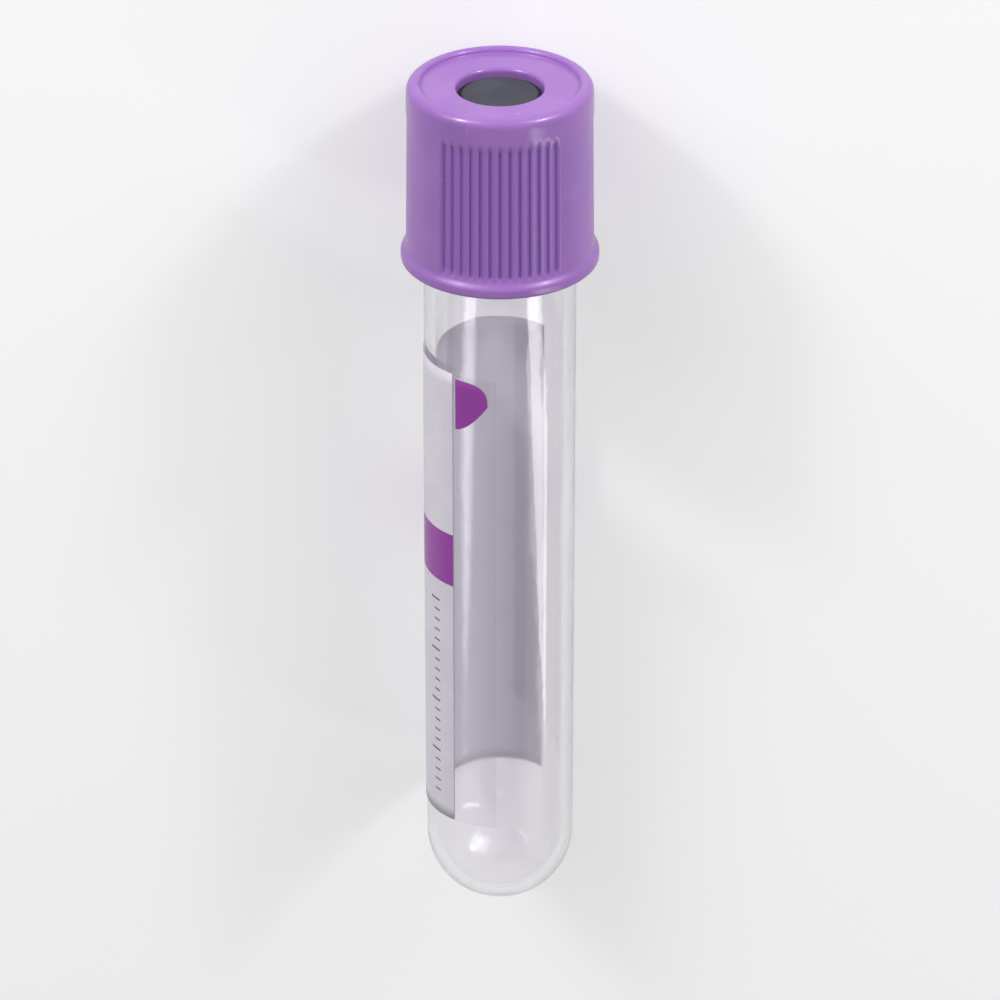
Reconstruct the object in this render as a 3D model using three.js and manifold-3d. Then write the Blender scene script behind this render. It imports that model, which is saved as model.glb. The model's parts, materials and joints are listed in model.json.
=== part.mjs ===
// A 13 x 75 mm blood collection tube with its pull-off closure, lying on its side.
//
// Millimetres, +Z up. Every piece is made about the tube's own axis, which is local +Y: the
// round bottom touches y = 0 and the open mouth is at y = TUBE_LENGTH. Angles about that axis
// start at +Z and turn towards +X, as they do in a LatheGeometry. The last section lays the
// assembly down on its two touching places, the cap's flange and the round bottom.

import * as THREE from 'three';
import * as BufferGeometryUtils from 'three/addons/utils/BufferGeometryUtils.js';
import Module from 'manifold-3d';

const wasm = await Module();
wasm.setup();

// ---------------------------------------------------------------- driving dimensions

const SIDES = 60; // flats round every turned surface; one of them faces straight down

// Tube: a moulded round-bottomed tube whose outside and bore both widen towards the mouth.
const TUBE_LENGTH = 75;
const TUBE_RADIUS = 6.5; // outside, at the mouth
const TUBE_DRAFT = 0.1; // loss of radius from the mouth to the round bottom
const TUBE_WALL = 1.0;
const TUBE_FLOOR = 1.15; // wall at the tip of the round bottom
const LIP_ROUND = 0.35;
const GATE_RADIUS = 0.9; // the low round mark that the moulding gate leaves at the tip
const GATE_HEIGHT = 0.08;
const GATE_CHAMFER = 0.04;

// Stopper: rubber, with a flange over the mouth, a hollow plug in the bore, and a low pad on top
// that stands in the cap's hole.
const SEAT_GAP = 0.05; // clearance above and below the flange, which is squeezed on the real one
const SEAL_GAP = 0.075; // clearance round the plug, with room for the narrowing of the bore
const FLANGE_RADIUS = 6.85;
const FLANGE_THICKNESS = 2.15;
const FLANGE_ROUND = 0.3;
const PLUG_LENGTH = 9.3;
const PLUG_TIP_RADIUS = 4.95;
const TIP_CHAMFER = 0.6;
const SEAL_HEIGHT = 1.6; // each of the two sealing bands
const LOWER_SEAL = 3.35; // from the plug's tip up to the lower band
const SEAL_RELIEF = 0.12; // depth of the waist between the bands
const SEAL_SLOPE = 0.24; // length over which a band runs into the waist
const HOLLOW_RADIUS = 3.2;
const HOLLOW_DEPTH = 6.0; // to the top of its round roof
const PAD_RADIUS = 3.4; // at its foot
const PAD_HEIGHT = 0.35;
const PAD_SLOPE = 0.25; // width of the slope round its face

// Cap: a thin shield over the stopper and the top of the tube.
const CAP_HEIGHT = 16.2;
const CAP_TOP_RADIUS = 7.87; // where the rounded top edge meets the side
const CAP_BASE_RADIUS = 8.03; // where the side meets the flange
const CAP_EDGE_ROUND = 0.8;
const CAP_FLANGE_RADIUS = 8.4;
const CAP_FLANGE_HEIGHT = 1.45; // to where its shoulder has run into the side
const CAP_FLANGE_EDGE = 0.7; // to where its shoulder starts
const CAP_FLANGE_ROUND = 0.25;
const CAP_REST_FLAT = 0.1; // depth of the small flat that the flange lies on
const CAP_BORE_RADIUS = 6.8;
const CAP_BORE_LEAD = 0.3; // chamfer at the mouth of the skirt
const CAP_CHAMBER_RADIUS = 7.0; // room for the stopper's flange
const CAP_BEAD_RADIUS = 6.66; // snap bead below that flange
const CAP_BEAD_HEIGHT = 0.35;
const CAP_WEB = 0.9; // thickness of the top
const CAP_RIM_HEIGHT = 0.45; // how far the rim stands above the top face
const CAP_RIM_INSIDE = 6.72;
const CAP_RIM_ROUND = 0.3;
const NEEDLE_HOLE_RADIUS = 3.65;
const NEEDLE_HOLE_ROUND = 0.35;

// Grip: three sunk panels of fine grooves, with a smooth panel between each two.
const GRIP_PANELS = 3;
const GROOVES_PER_PANEL = 13;
const GROOVE_PITCH = 6; // degrees
const GROOVE_MOUTH = 3.6; // degrees, across the top of a groove
const GROOVE_FLOOR = 1.8; // degrees, across its floor
const GROOVE_DEPTH = 0.24;
const PANEL_SINK = 0.08; // ribs stay this far below the smooth panels
const GRIP_BELOW_TOP = 2.3;
const GRIP_RUN_OUT = 0.9; // length over which the grooves fade out towards the top

// Label: a printed film wrapped part of the way round the tube.
const LABEL_START = 135; // degrees
const LABEL_STEPS = 37; // flats that the film covers
const LABEL_BOTTOM = 10.0;
const LABEL_TOP = 53.8;
const LABEL_GAP = 0.02;
const LABEL_THICKNESS = 0.08;

// ---------------------------------------------------------------- heights along the axis

const DOME_RADIUS = TUBE_RADIUS - TUBE_DRAFT;
const DOME_CENTRE = DOME_RADIUS + GATE_HEIGHT;
const BORE_RADIUS = TUBE_RADIUS - TUBE_WALL;
const STOPPER_SEAT = TUBE_LENGTH + SEAT_GAP;
const STOPPER_TOP = STOPPER_SEAT + FLANGE_THICKNESS;
const CAP_WEB_UNDERSIDE = STOPPER_TOP + SEAT_GAP;
const CAP_FACE = CAP_WEB_UNDERSIDE + CAP_WEB;
const CAP_TOP = CAP_FACE + CAP_RIM_HEIGHT;
const CAP_BOTTOM = CAP_TOP - CAP_HEIGHT;

// ---------------------------------------------------------------- helpers

const FLAT = 360 / SIDES;
const radians = THREE.MathUtils.degToRad;
const point = (radius, y) => new THREE.Vector2(radius, y);

// A round stretch of a profile, in `steps` chords.
function arc(radius, y, round, fromDegrees, toDegrees, steps) {
  return Array.from({ length: steps + 1 }, (_, i) => {
    const turn = radians(THREE.MathUtils.lerp(fromDegrees, toDegrees, i / steps));
    return point(radius + round * Math.cos(turn), y + round * Math.sin(turn));
  });
}

// A profile turned about the axis, with a flat rather than an edge at 0 and 180 degrees.
function turned(profile) {
  return new THREE.LatheGeometry(profile, SIDES, radians(FLAT / 2));
}

// The tube's outside radius at a height above the round bottom.
function tubeRadiusAt(y) {
  return THREE.MathUtils.mapLinear(y, DOME_CENTRE, TUBE_LENGTH, DOME_RADIUS, TUBE_RADIUS);
}

// A closed solid through outlines stacked along the axis. Each section is { y, outline }, and
// every outline has the same number of [radius, degrees] corners, outer edge first.
function loft(sections) {
  const corners = sections.map(({ outline }) =>
    outline.map(([radius, degrees]) => {
      const turn = radians(degrees);
      return new THREE.Vector2(radius * Math.cos(turn), radius * Math.sin(turn));
    }),
  );
  const count = corners[0].length;
  const positions = corners.flatMap((ring, level) =>
    ring.flatMap(({ x: z, y: x }) => [x, sections[level].y, z]),
  );
  const index = [];
  for (let level = 0; level < sections.length - 1; level++) {
    for (let corner = 0; corner < count; corner++) {
      const next = (corner + 1) % count;
      const below = level * count;
      const above = below + count;
      index.push(below + corner, below + next, above + next);
      index.push(below + corner, above + next, above + corner);
    }
  }
  const last = (sections.length - 1) * count;
  for (const [a, b, c] of THREE.ShapeUtils.triangulateShape(corners[0], [])) {
    index.push(c, b, a);
  }
  for (const [a, b, c] of THREE.ShapeUtils.triangulateShape(corners.at(-1), [])) {
    index.push(last + a, last + b, last + c);
  }
  const geometry = new THREE.BufferGeometry();
  geometry.setAttribute('position', new THREE.Float32BufferAttribute(positions, 3));
  geometry.setIndex(index);
  return geometry;
}

function toSolid(geometry) {
  const bare = geometry.clone();
  bare.deleteAttribute('normal');
  bare.deleteAttribute('uv');
  const merged = BufferGeometryUtils.mergeVertices(bare);
  return new wasm.Manifold(
    new wasm.Mesh({
      numProp: 3,
      vertProperties: merged.attributes.position.array,
      triVerts: new Uint32Array(merged.index.array),
    }),
  );
}

function toGeometry(solid) {
  const { vertProperties, triVerts } = solid.getMesh();
  const geometry = new THREE.BufferGeometry();
  geometry.setAttribute('position', new THREE.BufferAttribute(vertProperties, 3));
  geometry.setIndex(new THREE.BufferAttribute(triVerts, 1));
  geometry.computeVertexNormals();
  return geometry;
}

function piece(name, geometry, material) {
  const mesh = new THREE.Mesh(geometry, new THREE.MeshStandardMaterial(material));
  mesh.name = name;
  return mesh;
}

// ---------------------------------------------------------------- the two touching places

// The round bottom and the cap's flange touch the ground. The line through those two places is
// the ground, so its slope gives the tilt.
const flangeContact = {
  y: CAP_BOTTOM + CAP_FLANGE_ROUND,
  depth: CAP_FLANGE_RADIUS - CAP_REST_FLAT,
};
const bottomContact = { y: DOME_CENTRE, depth: DOME_RADIUS * Math.cos(radians(FLAT / 2)) };
const restTilt = Math.atan2(
  flangeContact.depth - bottomContact.depth,
  flangeContact.y - bottomContact.y,
);

// The ground as the pieces see it: the way up, and how far along it from the origin the ground is.
const groundUp = [0, Math.sin(restTilt), Math.cos(restTilt)];
const groundLevel = bottomContact.y * groundUp[1] - bottomContact.depth * groundUp[2];

// ---------------------------------------------------------------- tube

function tubeGeometry() {
  const lip = TUBE_LENGTH - LIP_ROUND;
  const innerDome = DOME_RADIUS - TUBE_WALL;
  const gateAngle = THREE.MathUtils.radToDeg(Math.acos(GATE_RADIUS / DOME_RADIUS));
  return turned([
    point(0, 0),
    point(GATE_RADIUS - GATE_CHAMFER, 0),
    point(GATE_RADIUS, GATE_CHAMFER),
    ...arc(0, DOME_CENTRE, DOME_RADIUS, -gateAngle, 0, 8),
    ...arc(TUBE_RADIUS - LIP_ROUND, lip, LIP_ROUND, 0, 90, 3),
    ...arc(BORE_RADIUS + LIP_ROUND, lip, LIP_ROUND, 90, 180, 3),
    ...arc(0, innerDome + TUBE_FLOOR, innerDome, 0, -90, 8),
  ]);
}

// ---------------------------------------------------------------- stopper

function stopperGeometry() {
  const plugTip = STOPPER_SEAT - PLUG_LENGTH;
  const lowerSeal = plugTip + LOWER_SEAL;
  const upperSeal = STOPPER_SEAT - SEAL_HEIGHT;
  const seal = BORE_RADIUS - SEAL_GAP;
  const waist = seal - SEAL_RELIEF;
  const edge = FLANGE_RADIUS - FLANGE_ROUND;
  return turned([
    ...arc(0, plugTip + HOLLOW_DEPTH - HOLLOW_RADIUS, HOLLOW_RADIUS, 90, 0, 4),
    point(HOLLOW_RADIUS, plugTip),
    point(PLUG_TIP_RADIUS - TIP_CHAMFER, plugTip),
    point(PLUG_TIP_RADIUS, plugTip + TIP_CHAMFER),
    point(seal, lowerSeal),
    point(seal, lowerSeal + SEAL_HEIGHT),
    point(waist, lowerSeal + SEAL_HEIGHT + SEAL_SLOPE),
    point(waist, upperSeal - SEAL_SLOPE),
    point(seal, upperSeal),
    point(seal, STOPPER_SEAT),
    ...arc(edge, STOPPER_SEAT + FLANGE_ROUND, FLANGE_ROUND, -90, 0, 2),
    ...arc(edge, STOPPER_TOP - FLANGE_ROUND, FLANGE_ROUND, 0, 90, 2),
    point(PAD_RADIUS, STOPPER_TOP),
    point(PAD_RADIUS - PAD_SLOPE, STOPPER_TOP + PAD_HEIGHT),
    point(0, STOPPER_TOP + PAD_HEIGHT),
  ]);
}

// ---------------------------------------------------------------- cap

function capBlank() {
  const flangeTop = CAP_BOTTOM + CAP_FLANGE_HEIGHT;
  const flangeEdge = CAP_FLANGE_RADIUS - CAP_FLANGE_ROUND;
  const shoulder = CAP_FLANGE_HEIGHT - CAP_FLANGE_EDGE;
  const shoulderStep = CAP_FLANGE_RADIUS - CAP_BASE_RADIUS;
  const sideTop = CAP_TOP - CAP_EDGE_ROUND;
  const hole = NEEDLE_HOLE_RADIUS + NEEDLE_HOLE_ROUND;
  const beadTop = STOPPER_SEAT - CAP_BEAD_HEIGHT;
  const beadBottom = beadTop - CAP_BEAD_HEIGHT;
  const beadStep = CAP_CHAMBER_RADIUS - CAP_BEAD_RADIUS;
  const profile = [
    point(CAP_BORE_RADIUS + CAP_BORE_LEAD, CAP_BOTTOM),
    ...arc(flangeEdge, CAP_BOTTOM + CAP_FLANGE_ROUND, CAP_FLANGE_ROUND, -90, 0, 2),
    point(CAP_FLANGE_RADIUS, CAP_BOTTOM + CAP_FLANGE_EDGE),
    point(CAP_FLANGE_RADIUS - shoulderStep * 0.2, flangeTop - shoulder * 0.65),
    point(CAP_FLANGE_RADIUS - shoulderStep * 0.8, flangeTop - shoulder * 0.3),
    point(CAP_BASE_RADIUS, flangeTop),
    ...arc(CAP_TOP_RADIUS - CAP_EDGE_ROUND, sideTop, CAP_EDGE_ROUND, 0, 90, 4),
    ...arc(CAP_RIM_INSIDE + CAP_RIM_ROUND, CAP_TOP - CAP_RIM_ROUND, CAP_RIM_ROUND, 90, 180, 2),
    point(CAP_RIM_INSIDE, CAP_FACE),
    ...arc(hole, CAP_FACE - NEEDLE_HOLE_ROUND, NEEDLE_HOLE_ROUND, 90, 180, 3),
    point(NEEDLE_HOLE_RADIUS, CAP_WEB_UNDERSIDE),
    point(CAP_CHAMBER_RADIUS, CAP_WEB_UNDERSIDE),
    point(CAP_CHAMBER_RADIUS, beadTop + beadStep),
    point(CAP_BEAD_RADIUS, beadTop),
    point(CAP_BEAD_RADIUS, beadBottom),
    point(CAP_BORE_RADIUS, beadBottom - beadStep),
    point(CAP_BORE_RADIUS, CAP_BOTTOM + CAP_BORE_LEAD),
  ];
  return turned([...profile, profile[0]]);
}

// One sunk grip panel, as the comb-shaped solid that is cut away to leave its ribs. The grooves
// keep their depth up the drafted side and fade out under the rounded top edge.
function gripCutter(middleDegrees) {
  const clear = CAP_FLANGE_RADIUS + 1; // well outside the cap
  const halfPanel = (GROOVES_PER_PANEL * GROOVE_PITCH) / 2;
  const sideRadiusAt = (y) =>
    THREE.MathUtils.mapLinear(
      y,
      CAP_BOTTOM + CAP_FLANGE_HEIGHT,
      CAP_TOP - CAP_EDGE_ROUND,
      CAP_BASE_RADIUS,
      CAP_TOP_RADIUS,
    );
  const section = (y, cut) => {
    const crest = sideRadiusAt(y) + (cut ? -PANEL_SINK : PANEL_SINK);
    const floor = crest - (cut ? GROOVE_DEPTH : 0);
    const outline = [];
    for (let angle = -halfPanel; angle <= halfPanel; angle += GROOVE_PITCH) {
      outline.push([clear, middleDegrees + angle]);
    }
    for (let groove = GROOVES_PER_PANEL - 1; groove >= 0; groove--) {
      const centre = middleDegrees - halfPanel + (groove + 0.5) * GROOVE_PITCH;
      outline.push([crest, centre + GROOVE_MOUTH / 2]);
      outline.push([floor, centre + GROOVE_FLOOR / 2]);
      outline.push([floor, centre - GROOVE_FLOOR / 2]);
      outline.push([crest, centre - GROOVE_MOUTH / 2]);
    }
    return { y, outline };
  };
  const top = CAP_TOP - GRIP_BELOW_TOP;
  return loft([
    section(CAP_BOTTOM + CAP_FLANGE_HEIGHT, true),
    section(top - GRIP_RUN_OUT, true),
    section(top, false),
  ]);
}

function capGeometry() {
  let cap = toSolid(capBlank()).trimByPlane(groundUp, groundLevel);
  for (let panel = 0; panel < GRIP_PANELS; panel++) {
    cap = cap.subtract(toSolid(gripCutter((panel * 360) / GRIP_PANELS)));
  }
  return toGeometry(cap);
}

// ---------------------------------------------------------------- label

function labelGeometry() {
  const section = (y) => {
    const inside = tubeRadiusAt(y) + LABEL_GAP;
    const angles = Array.from({ length: LABEL_STEPS + 1 }, (_, i) => LABEL_START + i * FLAT);
    const outer = angles.map((angle) => [inside + LABEL_THICKNESS, angle]);
    const inner = angles.map((angle) => [inside, angle]).reverse();
    return { y, outline: [...outer, ...inner] };
  };
  return loft([section(LABEL_BOTTOM), section(LABEL_TOP)]);
}

// ---------------------------------------------------------------- assembly, laid down

const tube = piece('tube', tubeGeometry(), {
  color: 0xe3e1ea,
  roughness: 0.08,
  metalness: 0,
  transparent: true,
  opacity: 0.35,
});
const label = piece('label', labelGeometry(), { color: 0xf1eef4, roughness: 0.4, metalness: 0 });
const stopper = piece('stopper', stopperGeometry(), { color: 0x4b4d5c, roughness: 0.75, metalness: 0 });
const cap = piece('cap', capGeometry(), { color: 0xb07fd2, roughness: 0.38, metalness: 0 });

const assembly = new THREE.Group();
assembly.add(tube, label, stopper, cap);
assembly.rotation.x = restTilt;

// Origin: on the ground, under the middle of the assembly's box.
const group = new THREE.Group();
group.add(assembly);
group.updateMatrixWorld(true);
const box = new THREE.Box3().setFromObject(group, true);
assembly.position.set(0, -(box.min.y + box.max.y) / 2, -box.min.z);

export default group;
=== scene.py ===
# %% [markdown]
# # A blood collection tube
#
# A clear polyester tube, 13 mm across and 75 mm long, lies on a pale table. A dark rubber stopper
# closes its mouth, a lavender cap covers the stopper, and a printed film is wrapped part of the way
# round the wall.
#
# Every piece here is a body of revolution, or a skin on one. So the lesson draws one profile for each
# piece, turns them all with the same small Geometry Nodes tree, and spends its effort on what makes
# such plain shapes look real: fine grip ribs, round edges, a true wall thickness, and finishes.
#
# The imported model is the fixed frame. It gives the size, the slope at which the tube lies, and the
# bodies that the pieces ride on.

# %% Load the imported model
import json
import math

import bmesh
import bpy
from mathutils import Matrix, Vector


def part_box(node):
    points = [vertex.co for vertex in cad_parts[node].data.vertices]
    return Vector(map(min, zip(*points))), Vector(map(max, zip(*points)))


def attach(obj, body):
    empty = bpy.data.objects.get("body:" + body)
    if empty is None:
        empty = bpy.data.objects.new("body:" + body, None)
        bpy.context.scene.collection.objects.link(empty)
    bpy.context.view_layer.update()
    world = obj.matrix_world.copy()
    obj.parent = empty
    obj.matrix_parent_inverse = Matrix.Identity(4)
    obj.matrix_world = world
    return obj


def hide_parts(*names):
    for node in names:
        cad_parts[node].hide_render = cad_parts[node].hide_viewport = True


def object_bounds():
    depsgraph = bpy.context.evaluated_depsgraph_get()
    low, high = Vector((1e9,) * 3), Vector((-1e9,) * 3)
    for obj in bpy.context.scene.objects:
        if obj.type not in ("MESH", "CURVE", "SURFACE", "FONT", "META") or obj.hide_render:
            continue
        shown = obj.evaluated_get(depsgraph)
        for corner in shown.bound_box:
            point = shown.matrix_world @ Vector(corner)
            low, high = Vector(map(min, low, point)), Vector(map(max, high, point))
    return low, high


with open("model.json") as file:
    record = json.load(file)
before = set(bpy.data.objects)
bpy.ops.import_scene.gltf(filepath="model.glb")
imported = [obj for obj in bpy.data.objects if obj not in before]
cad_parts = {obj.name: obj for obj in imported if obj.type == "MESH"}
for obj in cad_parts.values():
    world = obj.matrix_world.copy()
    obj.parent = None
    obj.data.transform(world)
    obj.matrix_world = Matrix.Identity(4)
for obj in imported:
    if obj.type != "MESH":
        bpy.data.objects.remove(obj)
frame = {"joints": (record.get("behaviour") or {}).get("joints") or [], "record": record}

MM = 0.001  # Blender's unit is the metre, and all sizes below are written in millimetres
cad_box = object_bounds()
print("packed model:", [round(side / MM, 2) for side in cad_box[1] - cad_box[0]], "mm")

# %% [markdown]
# ## The camera
#
# We look down on the cap from a little above, as at a tube that stands in a rack. This tube lies on
# its side, so the camera goes round with it: it hangs over the table on the cap's side, and its own
# "up" points along the tube towards the cap. It stands over half a metre away with a long lens. A
# short lens from close by would make the cap look far too large for the tube.

# %% Camera
LOOK_DOWN = math.radians(28.3)  # above the plane that cuts the tube square across
CAMERA_DISTANCE = 0.59
FRAME_FILL = 0.9  # share of the view's height that the tube takes

pull = Vector(frame["joints"][0]["axis"]).normalized()  # along the tube, towards the cap
across = Vector((1, 0, 0))
face_up = across.cross(pull)  # square to the tube, away from the table
tilt = math.atan2(pull.z, pull.y)

low, high = cad_box
middle = (low + high) / 2
backwards = pull * math.sin(LOOK_DOWN) + face_up * math.cos(LOOK_DOWN)
view_up = pull * math.cos(LOOK_DOWN) - face_up * math.sin(LOOK_DOWN)
seen_height = (high.y - low.y) * math.cos(LOOK_DOWN) + (high.x - low.x) * math.sin(LOOK_DOWN)

camera_data = bpy.data.cameras.new("camera")
camera_data.lens = camera_data.sensor_width * CAMERA_DISTANCE * FRAME_FILL / seen_height
camera = bpy.data.objects.new("camera", camera_data)
bpy.context.collection.objects.link(camera)
camera.matrix_world = Matrix.Translation(middle + backwards * CAMERA_DISTANCE) @ Matrix(
    (across, view_up, backwards)
).transposed().to_4x4()
bpy.context.scene.camera = camera
print("the tube slopes by", round(math.degrees(tilt), 2), "degrees; lens", round(camera_data.lens), "mm")

# %% [markdown]
# ## Helpers for node trees
#
# Geometry and finishes are both node trees built from code. `node` adds one node and wires it up in a
# single call, `maths` is for the many small sums, and `new_group` makes a tree whose inputs and
# outputs have plain names, so that it could also be used by hand from Blender's own menus.

# %% Node helpers
FLOAT, INTEGER, VECTOR = "NodeSocketFloat", "NodeSocketInt", "NodeSocketVector"
GEOMETRY, MATERIAL = "NodeSocketGeometry", "NodeSocketMaterial"


def node(tree, kind, inputs=None, **settings):
    """Adds a node. A value in `inputs` is a plain value, or another node's output to link."""
    made = tree.nodes.new(kind)
    for name, value in settings.items():
        setattr(made, name, value)
    for key, value in (inputs or {}).items():
        if isinstance(value, bpy.types.NodeSocket):
            tree.links.new(value, made.inputs[key])
        else:
            made.inputs[key].default_value = value
    return made


def maths(tree, operation, *values):
    return node(tree, "ShaderNodeMath", dict(enumerate(values)), operation=operation).outputs[0]


def product(tree, *values):
    result = values[0]
    for value in values[1:]:
        result = maths(tree, "MULTIPLY", result, value)
    return result


def ramp(tree, value, start, end, low_value=0.0, high_value=1.0):
    """Runs with soft ends from low_value to high_value while `value` runs from start to end."""
    inputs = {"Value": value, "From Min": start, "From Max": end, "To Min": low_value, "To Max": high_value}
    return node(tree, "ShaderNodeMapRange", inputs, interpolation_type="SMOOTHSTEP").outputs[0]


def blend_values(tree, share, first, second):
    """A straight mix: `first` where share is 0, `second` where it is 1."""
    inputs = {"Value": share, "To Min": first, "To Max": second}
    return node(tree, "ShaderNodeMapRange", inputs).outputs[0]


def separate(tree, vector):
    return node(tree, "ShaderNodeSeparateXYZ", {0: vector}).outputs


def combine(tree, *values):
    return node(tree, "ShaderNodeCombineXYZ", dict(enumerate(values))).outputs[0]


def new_group(kind, name, inputs, outputs):
    """A node group with named sockets: the tree, its input sockets and its output node."""
    tree = bpy.data.node_groups.new(name, kind)
    for label, socket_type, *start in inputs:
        socket = tree.interface.new_socket(label, in_out="INPUT", socket_type=socket_type)
        if start:
            socket.default_value = start[0]
    for label, socket_type in outputs:
        tree.interface.new_socket(label, in_out="OUTPUT", socket_type=socket_type)
    return tree, tree.nodes.new("NodeGroupInput").outputs, tree.nodes.new("NodeGroupOutput")


# %% [markdown]
# ## The tree that turns a profile
#
# A Screw modifier or a lathe add-on could turn a profile too. A node tree is used because one tree
# serves all the pieces, closes their seams and poles, and writes down where each point lies in the
# tube's own coordinates: millimetres, with y along the tube from its round bottom. The finishes read
# that attribute, so specks and grain keep their true size and place however the tube lies.
#
# The tree makes a flat grid with one row for each point of the profile. It sends each row to its own
# radius and height, rolls the grid up, and merges the points that meet.

# %% Turned surface
SEAM = 1e-7  # metres; points closer than this are one point
ROUND_SIDES = 160  # enough that the outline of a plain round piece looks smooth from close by


def store(tree, geometry, name, vector):
    inputs = {"Geometry": geometry, "Name": name, "Value": vector}
    settings = {"data_type": "FLOAT_VECTOR", "domain": "POINT"}
    return node(tree, "GeometryNodeStoreNamedAttribute", inputs, **settings).outputs[0]


def store_own_place(tree, geometry):
    """Keeps each point's place in the tube's own millimetres, as the attribute own_mm."""
    place = node(tree, "GeometryNodeInputPosition").outputs[0]
    scaled = node(tree, "ShaderNodeVectorMath", {0: place, "Scale": 1 / MM}, operation="SCALE")
    return store(tree, geometry, "own_mm", scaled.outputs[0])


def close_tree(tree, out, geometry, material):
    """Ends a tree with smooth shading, a real mesh and its material."""
    smooth = {0: store_own_place(tree, geometry), "Shade Smooth": True}
    shaded = node(tree, "GeometryNodeSetShadeSmooth", smooth)
    real = node(tree, "GeometryNodeRealizeInstances", {0: shaded.outputs[0]})
    painted = node(tree, "GeometryNodeSetMaterial", {0: real.outputs[0], "Material": material})
    tree.links.new(painted.outputs[0], out.inputs[0])


def build_turned_tree():
    inputs = [("Profile", GEOMETRY), ("Sides", INTEGER, 96), ("Finish", MATERIAL)]
    tree, given, out = new_group("GeometryNodeTree", "turned surface", inputs, [("Surface", GEOMETRY)])
    size = node(tree, "GeometryNodeAttributeDomainSize", {0: given["Profile"]}, component="MESH")
    rows = size.outputs["Point Count"]
    columns = maths(tree, "ADD", given["Sides"], 1)
    flat = {"Size X": 1.0, "Size Y": 1.0, "Vertices X": columns, "Vertices Y": rows}
    grid = node(tree, "GeometryNodeMeshGrid", flat)

    place = node(tree, "GeometryNodeInputPosition").outputs[0]
    grid_x, grid_y, _ = separate(tree, place)
    last_row = maths(tree, "SUBTRACT", rows, 1)
    row = maths(tree, "ROUND", product(tree, maths(tree, "ADD", grid_y, 0.5), last_row))
    sample = {"Geometry": given["Profile"], "Value": place, "Index": row}
    settings = {"data_type": "FLOAT_VECTOR", "domain": "POINT"}
    point = node(tree, "GeometryNodeSampleIndex", sample, **settings)
    radius, height, _ = separate(tree, point.outputs[0])

    turn = product(tree, maths(tree, "ADD", grid_x, 0.5), math.tau)
    x = product(tree, radius, maths(tree, "SINE", turn))
    z = product(tree, radius, maths(tree, "COSINE", turn))
    rolled = {"Geometry": grid.outputs[0], "Position": combine(tree, x, height, z)}
    moved = node(tree, "GeometryNodeSetPosition", rolled)
    closed = node(tree, "GeometryNodeMergeByDistance", {"Geometry": moved.outputs[0], "Distance": SEAM})
    close_tree(tree, out, closed.outputs[0], given["Finish"])
    return tree


turned_tree = build_turned_tree()
print("turned surface:", len(turned_tree.nodes), "nodes")

# %% [markdown]
# ## Drawing profiles
#
# A profile is a list of (radius, height) points in millimetres. It goes up the outside of the wall and
# comes back down the inside. Moulded edges are never sharp, so every corner is an arc. A long straight
# run also gets a point close to each of its ends: these support points keep the shading of the round
# edges from bleeding over the flats.

# %% Profile helpers
SUPPORT = 0.07  # mm from the end of a straight run to its support point


def arc(radius, height, rounding, start, end, steps):
    """A round stretch about the point (radius, height), from angle start to angle end in degrees."""
    angles = [math.radians(start + (end - start) * i / steps) for i in range(steps + 1)]
    return [(radius + rounding * math.cos(a), height + rounding * math.sin(a)) for a in angles]


def swell(share):
    """A soft shoulder: 1 where share is 0, 0 where it is 1, and level at both ends."""
    return (1 + math.cos(math.pi * share)) / 2


def supported(points):
    """The same profile, with support points near both ends of each long straight run."""
    done = [points[0]]
    for (r0, h0), (r1, h1) in zip(points, points[1:]):
        length = math.hypot(r1 - r0, h1 - h0)
        if length > 6 * SUPPORT:
            for share in (SUPPORT / length, 1 - SUPPORT / length):
                done.append((r0 + (r1 - r0) * share, h0 + (h1 - h0) * share))
        done.append((r1, h1))
    return done


def profile_object(name, points):
    mesh = bpy.data.meshes.new(name)
    corners = [(radius * MM, height * MM, 0) for radius, height in points]
    mesh.from_pydata(corners, [(i, i + 1) for i in range(len(corners) - 1)], [])
    profile = bpy.data.objects.new(name, mesh)
    bpy.context.collection.objects.link(profile)
    return profile


def add_tree(obj, tree, values):
    """Adds a Geometry Nodes modifier. Its inputs are set by their identifiers, looked up by name."""
    modifier = obj.modifiers.new(tree.name, "NODES")
    modifier.node_group = tree
    for item in tree.interface.items_tree:
        if item.in_out == "INPUT" and item.name in values:
            modifier[item.identifier] = values[item.name]


# %% [markdown]
# ## Laying a piece down
#
# Pieces are made upright about the y axis. A finished piece is turned into a plain mesh whose points
# already are where they lie on the table, and its object stays at the origin. The cap's flange is wider
# than the round bottom, so the tube lies at a slight slope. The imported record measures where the
# underside of that flange is, and the tube is put there, sloped like the joint that the cap slides on.
#
# The printed volume is a quick test. It comes out negative if a shape is inside out, and a count of
# open edges other than zero would mean a seam or a pole that didn't close.

# %% Laying down
TUBE_LENGTH = 75.0
TUBE_RADIUS = 6.5  # outside, at the mouth
DOME_RADIUS = 6.4  # a moulded tube is slightly narrower at its round bottom, or it would stick in the mould
GATE_HEIGHT = 0.08  # of the low mark that the moulding gate leaves at the tip
CAP_BOTTOM = 62.4  # the underside of the flange, up the tube from its tip

dome_height = DOME_RADIUS + GATE_HEIGHT
mounts = {mount["name"]: Vector(mount["pos_m"]) for mount in frame["record"]["mounts"]}
flange_place = mounts["cap_flange_underside"]
lay_down = (
    Matrix.Translation((0, flange_place.y, flange_place.z))
    @ Matrix.Rotation(tilt, 4, "X")
    @ Matrix.Translation((0, -CAP_BOTTOM * MM, 0))
)
print("the tip of the tube lies at", [round(side / MM, 2) for side in lay_down @ Vector()], "mm")


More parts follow.
